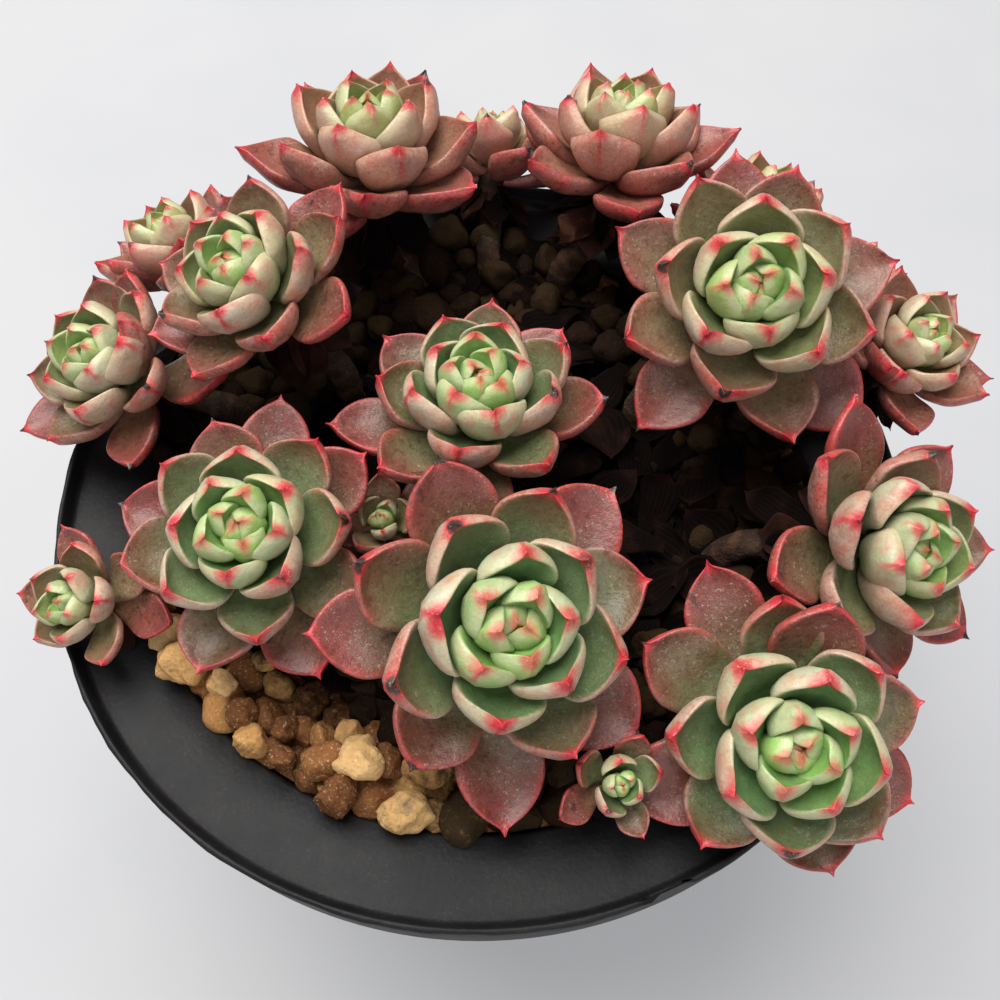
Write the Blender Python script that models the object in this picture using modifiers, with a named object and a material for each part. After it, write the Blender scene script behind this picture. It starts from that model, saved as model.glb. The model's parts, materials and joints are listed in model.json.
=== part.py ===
"""Potted echeveria: a clump of rosettes on short woody stems in a collared plastic pot.

Lengths are in metres, angles in degrees, +Z is up. The origin is the centre of the pot's flat
base, where it stands on the ground. Azimuths run from +X towards +Y.

Each rosette is one solid with its stem. Its leaves follow one golden-angle spiral from the bud
out. A leaf that would cross a neighbouring rosette is raised, and swayed a little, until it
hangs clear. Every stem stands in its own plain hole in the gravel and the soil.
"""

import math
import random
from typing import NamedTuple

import bmesh
import bpy
from mathutils import Matrix, Vector
from mathutils.bvhtree import BVHTree
from mathutils.geometry import intersect_point_line

MM = 0.001
GAP = 0.35 * MM

# Pot: the rim radius and the height drive the rest.
RIM_RADIUS = 90.0 * MM
POT_HEIGHT = 118.0 * MM
POT_WALL = 2.0 * MM
LIP_WIDTH = 1.5 * MM
LIP_HEIGHT = 3.5 * MM
COLLAR_WIDTH = 16.0 * MM
COLLAR_FALL = 1.8 * MM
SKIRT_HEIGHT = 14.0 * MM
BASE_RADIUS = 52.0 * MM
DRAIN_COUNT = 6
DRAIN_RADIUS = 4.0 * MM
DRAIN_RING = 30.0 * MM
POT_STEPS = 40
BED_STEPS = 28

BED_RADIUS = RIM_RADIUS - LIP_WIDTH - COLLAR_WIDTH - 0.5 * MM
BED_EDGE_LEVEL = POT_HEIGHT - LIP_HEIGHT - COLLAR_FALL - 1.2 * MM
GRAVEL_INNER = 48.0 * MM
GRAVEL_DEPTH = 9.0 * MM
SOIL_CROWN = 5.0 * MM
STEM_DEPTH = 24.0 * MM
STEM_FOOT_SHARE = 0.66
BACK_FOOT_SHARE = 0.92
STEM_FOOT_LIMIT = 61.0 * MM
STONE_SIZE = 7.8 * MM
STONE_SPACING = 8.7 * MM

GOLDEN_ANGLE = 137.508
AZIMUTH_SCATTER = 7.0
PITCH_SCATTER = 4.0
CLEARANCE = 0.45 * MM
BEND_STEP = 6.0
BEND_STEPS = 10
SWAYS = (0.0, 9.0, -9.0)
FLAT_ANGLE = 0.3

# A leaf's stations: distance along it, then width and thickness as shares of the largest.
LEAF_STATIONS = ((0.0, 0.18, 0.45), (0.32, 0.62, 0.95), (0.68, 1.0, 1.0), (0.90, 0.76, 0.62))

GREY_PLASTIC = (0.045, 0.046, 0.052)
OCHRE_STONE = (0.52, 0.33, 0.15)
DARK_SOIL = (0.045, 0.032, 0.024)
LEAF_BLUSH = (0.38, 0.22, 0.18)


class Head(NamedTuple):
    """One rosette: where its heart is, how it leans and opens, and how its spiral starts."""

    name: str
    x: float        # heart, mm from the pot's axis
    y: float
    rise: float     # heart, mm above the rim
    reach: float    # heart to outer leaf tips, mm
    lean: float     # axis from the vertical
    toward: float   # azimuth of the lean
    opening: float  # outermost leaf from the axis
    first: float    # azimuth of the innermost leaf
    turn: int       # +1 anticlockwise from above, -1 clockwise
    leaves: int


HEADS = (
    Head("rosette_front", 4, -44, 26, 34, 25, -58, 92, 197, -1, 24),
    Head("rosette_front_right", 52, -60, 17, 31, 30, -90, 102, 190, 1, 24),
    Head("rosette_front_left", -41, -26, 24, 29, 16, -87, 93, 157, 1, 24),
    Head("rosette_centre", 0, 1, 26, 29, 2, 90, 84, 268, 1, 24),
    Head("rosette_right", 52, 20, 35, 34, 26, -100, 92, 242, -1, 24),
    Head("rosette_left", -44, 24, 35, 28, 22, -152, 80, 64, -1, 22),
    Head("rosette_right_front", 74, -26, 20, 29, 38, -45, 80, 101, 1, 22),
    Head("rosette_left_low", -76, 18, 16, 27, 26, -155, 84, 333, 1, 22),
    Head("rosette_back_left", -25, 70, 26, 34, 10, 89, 78, 228, 1, 22),
    Head("rosette_back_right", 30, 69, 29, 32, 18, 75, 80, 39, 1, 22),
    Head("rosette_left_small", -76, -31, 6, 19, 33, -135, 84, 242, -1, 16),
    Head("rosette_right_back", 88, 20, 19, 24, 20, -20, 80, 308, -1, 20),
    Head("rosette_far_right", 64, 58, 18, 26, 28, 45, 78, 20, 1, 18),
    Head("rosette_far_left", -66, 47, 18, 26, 28, 145, 78, 140, -1, 18),
    Head("rosette_right_low", 86, 44, 11, 19, 45, 26, 78, 75, 1, 12),
    Head("rosette_back_low", 2, 86, 12, 24, 45, 88, 84, 10, -1, 14),
    Head("rosette_bud_front", 24, -66, 10, 13, 25, -70, 70, 50, 1, 10),
    Head("rosette_bud_middle", -18, -18, 14, 14, 10, -120, 74, 200, -1, 10),
)


class Leaf(NamedTuple):
    """One leaf in its rosette's own frame: angles in radians, length in metres."""

    age: float
    azimuth: float
    pitch: float
    length: float


def clear_scene():
    """Remove every object that the file opened with."""
    for item in list(bpy.data.objects):
        bpy.data.objects.remove(item, do_unlink=True)


def new_collection(name):
    """A collection linked to the scene."""
    collection = bpy.data.collections.new(name)
    bpy.context.scene.collection.children.link(collection)
    return collection


def make_material(name, colour, roughness):
    """A plain Principled material for one sub-part."""
    material = bpy.data.materials.new(name)
    material.use_nodes = True
    shader = material.node_tree.nodes["Principled BSDF"]
    shader.inputs["Base Color"].default_value = (*colour, 1.0)
    shader.inputs["Roughness"].default_value = roughness
    shader.inputs["Metallic"].default_value = 0.0
    material.diffuse_color = (*colour, 1.0)
    return material


def mesh_object(name, bm, collection):
    """Turn a bmesh into a named object."""
    mesh = bpy.data.meshes.new(name)
    bm.to_mesh(mesh)
    bm.free()
    item = bpy.data.objects.new(name, mesh)
    collection.objects.link(item)
    return item


def turned(name, profile, steps, collection, material, ring=False):
    """A solid of revolution: the profile runs up the inside and down the outside."""
    mesh = bpy.data.meshes.new(name)
    points = [(radius, 0.0, height) for radius, height in profile]
    edges = [(i, i + 1) for i in range(len(points) - 1)]
    if ring:
        edges.append((len(points) - 1, 0))
    mesh.from_pydata(points, edges, [])
    mesh.materials.append(material)
    item = bpy.data.objects.new(name, mesh)
    collection.objects.link(item)
    screw = item.modifiers.new("turn", "SCREW")
    screw.steps = steps
    screw.render_steps = steps
    screw.use_merge_vertices = True
    screw.merge_threshold = 0.00001
    return item


def as_cutter(item):
    """Hide a cutter from the finished model."""
    item.hide_render = True
    item.display_type = "WIRE"
    return item


def boolean(item, operation, collection):
    """Cut or join an object with every object in a collection."""
    modifier = item.modifiers.new(operation.lower(), "BOOLEAN")
    modifier.operation = operation
    modifier.operand_type = "COLLECTION"
    modifier.collection = collection
    modifier.solver = "EXACT"


def apply_modifiers(item):
    """Replace an object's mesh by its evaluated one."""
    graph = bpy.context.evaluated_depsgraph_get()
    result = bpy.data.meshes.new_from_object(item.evaluated_get(graph))
    item.modifiers.clear()
    old = item.data
    item.data = result
    result.name = item.name
    if old.users == 0:
        bpy.data.meshes.remove(old)


def remove_collection(collection):
    """Remove a collection with the objects in it."""
    for item in list(collection.objects):
        bpy.data.objects.remove(item, do_unlink=True)
    bpy.data.collections.remove(collection)


def wall_radius(height):
    """Inner radius of the pot's tapered wall at a height."""
    share = (height - POT_WALL) / (BED_EDGE_LEVEL - POT_WALL)
    bottom = BASE_RADIUS - POT_WALL
    return bottom + (BED_RADIUS - bottom) * share


def pot_profile():
    """Half section of the pot, from the inside of its base over the lip to its underside."""
    lip_inner = RIM_RADIUS - LIP_WIDTH
    collar_outer = POT_HEIGHT - LIP_HEIGHT
    collar_inner = collar_outer - COLLAR_FALL
    under_wall = BED_RADIUS + POT_WALL
    return (
        (0.0, POT_WALL),
        (BASE_RADIUS - POT_WALL, POT_WALL),
        (BED_RADIUS, BED_EDGE_LEVEL),
        (BED_RADIUS + 0.8 * MM, collar_inner),
        (lip_inner - 1.0 * MM, collar_outer),
        (lip_inner, POT_HEIGHT - 0.3 * MM),
        (lip_inner + 0.4 * MM, POT_HEIGHT),
        (RIM_RADIUS, POT_HEIGHT - 0.4 * MM),
        (RIM_RADIUS - 0.8 * MM, POT_HEIGHT - SKIRT_HEIGHT),
        (RIM_RADIUS - 2.3 * MM, POT_HEIGHT - SKIRT_HEIGHT),
        (lip_inner - 0.6 * MM, collar_outer - POT_WALL),
        (under_wall, collar_inner - POT_WALL),
        (BASE_RADIUS, 1.2 * MM),
        (BASE_RADIUS - 1.2 * MM, 0.0),
        (0.0, 0.0),
    )


def build_pot(collection, cutters):
    """The pot, with drain holes in a ring round the middle of its base."""
    material = make_material("pot_plastic", GREY_PLASTIC, 0.55)
    pot = turned("pot", pot_profile(), POT_STEPS, collection, material)
    for number in range(DRAIN_COUNT):
        angle = math.tau * number / DRAIN_COUNT
        bm = bmesh.new()
        bmesh.ops.create_cone(
            bm,
            cap_ends=True,
            segments=12,
            radius1=DRAIN_RADIUS,
            radius2=DRAIN_RADIUS,
            depth=6.0 * POT_WALL,
        )
        drain = as_cutter(mesh_object(f"drain_{number + 1}", bm, cutters))
        drain.location = (DRAIN_RING * math.cos(angle), DRAIN_RING * math.sin(angle), 0.0)
    boolean(pot, "DIFFERENCE", cutters)


def stem_radius(head):
    """Woody stems are thicker under large rosettes."""
    return (1.5 + 0.055 * head.reach) * MM


def stem_foot(head):
    """Where the stem leaves the bed: pulled in from the heart towards the pot's axis."""
    share_y = BACK_FOOT_SHARE if head.y > 0 else STEM_FOOT_SHARE
    foot = Vector((head.x * STEM_FOOT_SHARE * MM, head.y * share_y * MM, 0.0))
    if foot.length > STEM_FOOT_LIMIT:
        foot *= STEM_FOOT_LIMIT / foot.length
    return foot


def head_axis(head):
    """Unit vector along the rosette's axis, from the heart out through the bud."""
    lean = math.radians(head.lean)
    toward = math.radians(head.toward)
    flat = math.sin(lean)
    return Vector((flat * math.cos(toward), flat * math.sin(toward), math.cos(lean)))


def head_matrix(head):
    """From the rosette's own frame, with the bud along +Z, to the part's frame."""
    turn = Vector((0.0, 0.0, 1.0)).rotation_difference(head_axis(head))
    heart = Vector((head.x * MM, head.y * MM, POT_HEIGHT + head.rise * MM))
    return Matrix.Translation(heart) @ turn.to_matrix().to_4x4()


def bed_level(radius):
    """Top of the bed: a low crown of soil in the middle, level gravel round it."""
    share = min(radius / GRAVEL_INNER, 1.0)
    return BED_EDGE_LEVEL + SOIL_CROWN * (1.0 - share * share)


def stem_cutters(name, bottom, top):
    """Plain round holes, one for each stem, as a collection of cylinders."""
    collection = new_collection(name)
    for head in HEADS:
        foot = stem_foot(head)
        radius = (stem_radius(head) + GAP) / math.cos(math.pi / 6)
        bm = bmesh.new()
        bmesh.ops.create_cone(
            bm, cap_ends=True, segments=6, radius1=radius, radius2=radius, depth=top - bottom
        )
        cutter = as_cutter(mesh_object(f"{name}_{head.name}", bm, collection))
        cutter.location = (foot.x, foot.y, (top + bottom) / 2)
    return collection


def build_soil(collection):
    """The dark substrate: a tapered plug that fills the pot and rises inside the gravel ring."""
    ledge = BED_EDGE_LEVEL - GRAVEL_DEPTH - GAP
    bottom = POT_WALL + GAP
    crown = [GRAVEL_INNER * i / 3 for i in range(3)]
    profile = (
        *((radius, bed_level(radius)) for radius in crown),
        (GRAVEL_INNER - GAP, BED_EDGE_LEVEL),
        (GRAVEL_INNER - GAP, ledge),
        (wall_radius(ledge) - GAP, ledge),
        (wall_radius(bottom) - GAP, bottom),
        (0.0, bottom),
    )
    material = make_material("dark_substrate", DARK_SOIL, 0.95)
    soil = turned("soil", profile, BED_STEPS, collection, material)
    holes = stem_cutters("soil_hole", BED_EDGE_LEVEL - STEM_DEPTH - GAP, POT_HEIGHT + 9.0 * MM)
    boolean(soil, "DIFFERENCE", holes)


def distance_to_line(point, start, end):
    """Distance from a point to the straight stretch between two others."""
    nearest, share = intersect_point_line(point, start, end)
    if share < 0.0:
        nearest = start
    elif share > 1.0:
        nearest = end
    return (point - nearest).length


def clears_stems(place, reach):
    """True where a stone of that reach touches no stem, up to the neck."""
    for head in HEADS:
        stops = [stop for stop, _ in stem_route(head)][:-2]
        for start, end in zip(stops, stops[1:]):
            if distance_to_line(place, start, end) < stem_radius(head) + reach:
                return False
    return True


def stone_places():
    """Stones on a sunflower spiral over the ring of gravel, clear of every stem."""
    draw = random.Random("stones")
    places = []
    for number in range(1000):
        radius = STONE_SPACING * math.sqrt((number + 0.5) / math.pi)
        if radius > BED_RADIUS:
            break
        angle = math.radians(GOLDEN_ANGLE * number)
        size = STONE_SIZE * draw.uniform(0.85, 1.15)
        tilt = [draw.uniform(-0.28, 0.28) for _ in range(3)]
        place = Vector((radius * math.cos(angle), radius * math.sin(angle), BED_EDGE_LEVEL))
        inside = GRAVEL_INNER + 0.75 * size < radius < BED_RADIUS - 0.85 * size
        if inside and clears_stems(place, 0.85 * size):
            places.append((place, size, tilt))
    return places


def build_gravel(collection):
    """The top dressing: a ring with angular stones half sunk in it, fused into one body."""
    bottom = BED_EDGE_LEVEL - GRAVEL_DEPTH
    profile = (
        (GRAVEL_INNER, BED_EDGE_LEVEL),
        (BED_RADIUS - GAP, BED_EDGE_LEVEL),
        (wall_radius(bottom) - GAP, bottom),
        (GRAVEL_INNER, bottom),
    )
    material = make_material("ochre_gravel", OCHRE_STONE, 0.9)
    gravel = turned("gravel", profile, BED_STEPS, collection, material, ring=True)
    stones = new_collection("stones")
    for number, (place, size, tilt) in enumerate(stone_places()):
        bm = bmesh.new()
        bmesh.ops.create_cube(bm, size=size)
        for vert in bm.verts:
            vert.co *= 0.86 + 0.1 * math.sin(7.0 * number + 40.0 * vert.index)
        stone = mesh_object(f"stone_{number + 1}", bm, stones)
        stone.location = place
        stone.rotation_euler = (tilt[0], tilt[1], tilt[2] * 6.0)
    boolean(gravel, "UNION", stones)
    apply_modifiers(gravel)
    remove_collection(stones)
    holes = stem_cutters("gravel_hole", bottom - 5.0 * MM, POT_HEIGHT + 20.0 * MM)
    boolean(gravel, "DIFFERENCE", holes)


def spiral(head):
    """The rosette's leaves from the bud out."""
    draw = random.Random(head.name)
    leaves = []
    for number in range(head.leaves):
        age = number / (head.leaves - 1)
        azimuth = head.first + head.turn * GOLDEN_ANGLE * number
        azimuth += AZIMUTH_SCATTER * age * draw.uniform(-1.0, 1.0)
        pitch = head.opening * (1.0 - (1.0 - age) ** 1.25)
        pitch += PITCH_SCATTER * age * draw.uniform(-1.0, 1.0)
        length = head.reach * MM * (0.38 + 0.55 * age) * draw.uniform(0.95, 1.05)
        leaves.append(Leaf(age, math.radians(azimuth), math.radians(pitch), length))
    return leaves


def leaf_rings(head, leaf, grow=0.0):
    """Three-cornered sections along a leaf, flat above and keeled below, and its tip."""
    reach = head.reach * MM
    curl = math.radians(44.0 - 22.0 * leaf.age)
    root = reach * (0.05 + 0.05 * leaf.age)
    rise = reach * (0.10 - 0.34 * leaf.age)
    half_width = 0.24 * reach * min(1.0, 0.5 + 1.4 * leaf.age)
    thickness = reach * (0.10 + 0.04 * leaf.age)
    outward = Vector((math.cos(leaf.azimuth), math.sin(leaf.azimuth), 0.0))
    aside = Vector((-outward.y, outward.x, 0.0))
    up = Vector((0.0, 0.0, 1.0))
    start = leaf.pitch + 0.5 * curl

    def centre(u):
        slope = start - curl * u
        across = root + leaf.length * (math.cos(slope) - math.cos(start)) / curl
        height = rise + leaf.length * (math.sin(start) - math.sin(slope)) / curl
        facing = up * math.sin(slope) - outward * math.cos(slope)
        return outward * across + up * height, facing

    rings = []
    for u, wide, thick in LEAF_STATIONS:
        middle, facing = centre(u)
        side = aside * (half_width * wide + grow)
        rings.append((
            middle + side + facing * grow,
            middle - side + facing * grow,
            middle - facing * (thickness * thick + grow),
        ))
    tip, facing = centre(1.0 + grow / leaf.length)
    return rings, tip - facing * 0.15 * thickness


def leaf_mesh(head, leaf, grow=0.0):
    """A leaf's corners in the part's frame and its faces, closed at the root and the tip."""
    rings, tip = leaf_rings(head, leaf, grow)
    matrix = head_matrix(head)
    points = [matrix @ corner for ring in rings for corner in ring]
    points.append(matrix @ tip)
    last = len(points) - 1
    faces = [(0, 1, 2)]
    for ring in range(len(rings) - 1):
        for side in range(3):
            near = 3 * ring + side
            beside = 3 * ring + (side + 1) % 3
            faces.append((near, near + 3, beside + 3, beside))
    for side in range(3):
        faces.append((last - 3 + side, last, last - 3 + (side + 1) % 3))
    return points, faces


def clears_pot(points):
    """True where every corner is above the gravel, or above the lip and the slope outside it."""
    for point in points:
        radius = math.hypot(point.x, point.y)
        if radius < BED_RADIUS - 1.0 * MM:
            floor = bed_level(radius) + 0.75 * STONE_SIZE
        else:
            floor = POT_HEIGHT + 1.2 * MM - 1.4 * max(0.0, radius - RIM_RADIUS - 2.0 * MM)
        if point.z < floor:
            return False
    return True


def stem_route(head):
    """Points and radii along the stem: up out of its hole, round to the axis, into the core."""
    reach = head.reach * MM
    axis = head_axis(head)
    heart = head_matrix(head).translation
    foot = stem_foot(head)
    thick = stem_radius(head)
    ground = bed_level(foot.length) + 2.0 * MM
    low = Vector((foot.x, foot.y, BED_EDGE_LEVEL - STEM_DEPTH))
    out = Vector((foot.x, foot.y, ground))
    neck = heart - axis * 0.34 * reach
    pull = 0.45 * (neck - out).length
    bend = (out, out + Vector((0.0, 0.0, pull)), neck - axis * pull, neck)
    route = [(low, thick), (out, thick)]
    for t in (0.33, 0.67):
        s = 1.0 - t
        point = s**3 * bend[0] + 3 * s * s * t * bend[1] + 3 * s * t * t * bend[2] + t**3 * bend[3]
        route.append((point, thick))
    route.append((neck, thick))
    route.append((heart - axis * 0.24 * reach, 0.16 * reach))
    route.append((heart + axis * 0.14 * reach, 0.08 * reach))
    return route


def build_stem(head, collection, material):
    """The woody stem and the core that the leaves grow from, as one tapering tube."""
    curve = bpy.data.curves.new("stem", "CURVE")
    curve.dimensions = "3D"
    curve.bevel_depth = 1.0
    curve.bevel_resolution = 1
    curve.use_fill_caps = True
    route = stem_route(head)
    line = curve.splines.new("POLY")
    line.points.add(len(route) - 1)
    for point, (place, thick) in zip(line.points, route):
        point.co = (*place, 1.0)
        point.radius = thick
    tube = bpy.data.objects.new("stem_curve", curve)
    collection.objects.link(tube)
    graph = bpy.context.evaluated_depsgraph_get()
    mesh = bpy.data.meshes.new_from_object(tube.evaluated_get(graph))
    mesh.name = head.name
    bm = bmesh.new()
    bm.from_mesh(mesh)
    bmesh.ops.remove_doubles(bm, verts=bm.verts, dist=0.000001)
    bmesh.ops.recalc_face_normals(bm, faces=bm.faces)
    bm.to_mesh(mesh)
    bm.free()
    mesh.materials.clear()
    mesh.materials.append(material)
    item = bpy.data.objects.new(head.name, mesh)
    item.matrix_world = tube.matrix_world
    collection.objects.link(item)
    bpy.data.objects.remove(tube, do_unlink=True)
    return item


def mesh_tree(mesh):
    """A search tree over a mesh object's faces."""
    return BVHTree.FromPolygons([v.co for v in mesh.vertices], [p.vertices for p in mesh.polygons])


def settle_leaf(head, leaf, others):
    """The leaf as it grows, or raised and swayed until it clears the pot and its neighbours."""
    for step in range(BEND_STEPS):
        for sway in SWAYS:
            bent = leaf._replace(
                azimuth=leaf.azimuth + math.radians(sway),
                pitch=leaf.pitch - math.radians(BEND_STEP * step),
                length=leaf.length * (1.0 - 0.02 * step),
            )
            points, faces = leaf_mesh(head, bent, CLEARANCE)
            if not clears_pot(points):
                continue
            tree = BVHTree.FromPolygons(points, faces)
            if not any(tree.overlap(other) for other in others):
                return bent
    return None


def settle_leaves(stems):
    """Settle all leaves, bud leaves of every rosette first and the outermost last."""
    trees = {head.name: [mesh_tree(stems[head.name].data)] for head in HEADS}
    settled = {head.name: [] for head in HEADS}
    for low, high in ((0.0, 0.45), (0.45, 0.75), (0.75, 1.01)):
        for head in HEADS:
            others = [t for name, group in trees.items() if name != head.name for t in group]
            for leaf in spiral(head):
                if not low <= leaf.age < high:
                    continue
                bent = settle_leaf(head, leaf, others)
                if bent is not None:
                    settled[head.name].append(bent)
                    trees[head.name].append(BVHTree.FromPolygons(*leaf_mesh(head, bent)))
    return settled


def fuse_head(head, stem, leaves):
    """Join a rosette's leaves to its stem in one body."""
    blades = new_collection("blades")
    for leaf in leaves:
        points, faces = leaf_mesh(head, leaf)
        mesh = bpy.data.meshes.new("leaf")
        mesh.from_pydata(points, [], faces)
        bm = bmesh.new()
        bm.from_mesh(mesh)
        bmesh.ops.triangulate(bm, faces=bm.faces, quad_method="FIXED")
        bmesh.ops.recalc_face_normals(bm, faces=bm.faces)
        bm.to_mesh(mesh)
        bm.free()
        blades.objects.link(bpy.data.objects.new("leaf", mesh))
    boolean(stem, "UNION", blades)
    flat = stem.modifiers.new("merge_flat_faces", "DECIMATE")
    flat.decimate_type = "DISSOLVE"
    flat.angle_limit = math.radians(FLAT_ANGLE)
    apply_modifiers(stem)
    remove_collection(blades)


def build_heads(collection):
    """Every rosette, each in one solid with its stem."""
    material = make_material("echeveria_leaf", LEAF_BLUSH, 0.6)
    stems = {head.name: build_stem(head, collection, material) for head in HEADS}
    bpy.context.view_layer.update()
    settled = settle_leaves(stems)
    for head in HEADS:
        fuse_head(head, stems[head.name], settled[head.name])


def main():
    clear_scene()
    plant = new_collection("potted_echeveria")
    drains = new_collection("drain_cutters")
    build_pot(plant, drains)
    build_soil(plant)
    build_gravel(plant)
    build_heads(plant)


main()
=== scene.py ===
# %% [markdown]
# # A potted echeveria, dressed over its solid model
#
# The solid model already holds the pot, the soil, the gravel and every rosette at its real size
# and place. This lesson gives each of them its fine surface: fleshy leaves, woody stems, dry
# old leaves, loose grains and a moulded plastic pot. The frame comes first, because every piece
# is placed from it and nothing is fitted by eye afterwards.

# %% Load the solid model as a fixed frame
import json
import math
import random
from typing import NamedTuple

import bmesh
import bpy
import numpy as np
from mathutils import Matrix, Vector
from mathutils.kdtree import KDTree

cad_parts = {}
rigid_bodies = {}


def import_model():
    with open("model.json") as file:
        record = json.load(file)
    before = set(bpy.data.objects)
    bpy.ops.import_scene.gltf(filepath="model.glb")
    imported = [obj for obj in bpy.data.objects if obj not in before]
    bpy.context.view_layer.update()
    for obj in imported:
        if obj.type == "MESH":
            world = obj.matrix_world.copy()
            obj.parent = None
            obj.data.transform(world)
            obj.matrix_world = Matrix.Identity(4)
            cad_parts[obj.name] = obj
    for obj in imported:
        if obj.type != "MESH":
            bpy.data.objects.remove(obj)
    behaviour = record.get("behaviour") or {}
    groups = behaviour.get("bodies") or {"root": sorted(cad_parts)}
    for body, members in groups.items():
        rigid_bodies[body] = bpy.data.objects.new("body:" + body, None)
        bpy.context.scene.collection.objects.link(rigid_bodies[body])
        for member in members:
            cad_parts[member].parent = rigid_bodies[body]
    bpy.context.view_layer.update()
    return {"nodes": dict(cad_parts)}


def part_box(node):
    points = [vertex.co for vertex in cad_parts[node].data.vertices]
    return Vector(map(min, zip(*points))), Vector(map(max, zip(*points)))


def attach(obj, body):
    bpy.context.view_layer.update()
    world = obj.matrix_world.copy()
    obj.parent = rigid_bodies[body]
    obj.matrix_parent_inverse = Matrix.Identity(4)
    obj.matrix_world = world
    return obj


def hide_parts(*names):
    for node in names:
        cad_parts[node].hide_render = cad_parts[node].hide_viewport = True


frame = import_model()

MM = 0.001

# %% [markdown]
# ## The camera
#
# The photo looks down on the plant from in front. The pot's round rim shows as an ellipse, and
# the only view that draws a circle as that ellipse is about 60 degrees above the horizon, close
# above the pot. The rim's radius sets the scale, so the camera follows the pot's real size.

# %% Place the camera at the photo's viewing angle
RIM_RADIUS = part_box("pot")[1].x
RIM_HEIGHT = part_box("pot")[1].z
VIEW_ELEVATION = math.radians(60.4)
VIEW_DISTANCE = 2.382 * RIM_RADIUS
VIEW_SIDESTEP = 0.044 * RIM_RADIUS


def place_camera():
    """A camera whose frame centre lies a little right of and below the middle of the rim."""
    back = Vector((0.0, -math.cos(VIEW_ELEVATION), math.sin(VIEW_ELEVATION)))
    right = Vector((1.0, 0.0, 0.0))
    up = back.cross(right)
    lens = bpy.data.cameras.new("camera")
    lens.lens = 36.0
    lens.sensor_width = 36.0
    camera = bpy.data.objects.new("camera", lens)
    bpy.context.scene.collection.objects.link(camera)
    matrix = Matrix((right, up, back)).transposed().to_4x4()
    middle = Vector((0.0, 0.0, RIM_HEIGHT))
    matrix.translation = middle + back * VIEW_DISTANCE + (right - up) * VIEW_SIDESTEP
    camera.matrix_world = matrix
    bpy.context.scene.camera = camera
    return camera


camera = place_camera()
print("camera at", [round(x, 3) for x in camera.matrix_world.translation])

# %% [markdown]
# ## Where each rosette sits
#
# A rosette is a short stem packed with leaves. One row of numbers describes each: where its
# heart is, how it leans, how far it opens, and where its spiral starts. These are the sizes that
# the solid model was built from, so the fine leaves grow from the same hearts.

# %% The rosettes
class Head(NamedTuple):
    """One rosette. Places and reach are in millimetres, angles in degrees."""

    name: str
    x: float
    y: float
    rise: float     # heart above the rim
    reach: float    # heart to outer leaf tips
    lean: float     # axis from the vertical
    toward: float   # azimuth of the lean
    opening: float  # outermost leaf from the axis
    first: float    # azimuth of the innermost leaf
    turn: int       # +1 anticlockwise from above, -1 clockwise
    leaves: int
    blush: float    # 0 green, 1 sun-flushed pink all over


HEADS = (
    Head("rosette_front", 4, -44, 26, 34, 25, -58, 92, 197, -1, 24, 0.1),
    Head("rosette_front_right", 52, -60, 17, 31, 30, -90, 102, 190, 1, 24, 0.1),
    Head("rosette_front_left", -41, -26, 24, 29, 16, -87, 93, 157, 1, 24, 0.15),
    Head("rosette_centre", 0, 1, 26, 29, 2, 90, 84, 268, 1, 24, 0.15),
    Head("rosette_right", 52, 20, 35, 34, 26, -100, 92, 242, -1, 24, 0.35),
    Head("rosette_left", -44, 24, 35, 28, 22, -152, 80, 64, -1, 22, 0.35),
    Head("rosette_right_front", 74, -26, 20, 29, 38, -45, 80, 101, 1, 22, 0.25),
    Head("rosette_left_low", -76, 18, 16, 27, 26, -155, 84, 333, 1, 22, 0.35),
    Head("rosette_back_left", -25, 70, 26, 34, 10, 89, 78, 228, 1, 22, 0.75),
    Head("rosette_back_right", 30, 69, 29, 32, 18, 75, 80, 39, 1, 22, 0.85),
    Head("rosette_left_small", -76, -31, 6, 19, 33, -135, 84, 242, -1, 16, 0.45),
    Head("rosette_right_back", 88, 20, 19, 24, 20, -20, 80, 308, -1, 20, 0.7),
    Head("rosette_far_right", 64, 58, 18, 26, 28, 45, 78, 20, 1, 18, 0.9),
    Head("rosette_far_left", -66, 47, 18, 26, 28, 145, 78, 140, -1, 18, 0.8),
    Head("rosette_right_low", 86, 44, 11, 19, 45, 26, 78, 75, 1, 12, 0.9),
    Head("rosette_back_low", 2, 86, 12, 24, 45, 88, 84, 10, -1, 14, 0.9),
    Head("rosette_bud_front", 24, -66, 10, 13, 25, -70, 70, 50, 1, 10, 0.2),
    Head("rosette_bud_middle", -18, -18, 14, 14, 10, -120, 74, 200, -1, 10, 0.6),
)


def head_axis(head):
    """Unit vector from the heart out through the bud."""
    lean = math.radians(head.lean)
    toward = math.radians(head.toward)
    flat = math.sin(lean)
    return Vector((flat * math.cos(toward), flat * math.sin(toward), math.cos(lean)))


def head_matrix(head):
    """From the rosette's own frame, with the bud along +Z, to the model's frame."""
    turn = Vector((0.0, 0.0, 1.0)).rotation_difference(head_axis(head))
    heart = Vector((head.x * MM, head.y * MM, RIM_HEIGHT + head.rise * MM))
    return Matrix.Translation(heart) @ turn.to_matrix().to_4x4()


print(len(HEADS), "rosettes,", sum(head.leaves for head in HEADS), "leaves")

# %% [markdown]
# ## The spiral
#
# New leaves appear one after another, each 137.5 degrees round from the last. That angle never
# repeats, so leaves fill the gaps between older ones. Older leaves are longer and lie further
# open. The same seeded draws as in the solid model give each leaf its small natural deviation.

# %% Leaves in golden-angle order
GOLDEN_ANGLE = 137.508
AZIMUTH_SCATTER = 7.0
PITCH_SCATTER = 4.0
EXTRA_CURL = 34.0
YOUNG_OPENING = 12.0
HEART_LEAVES = 3


class Leaf(NamedTuple):
    """One leaf in its rosette's own frame: angles in radians, length in metres."""

    age: float
    azimuth: float
    pitch: float
    length: float


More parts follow.
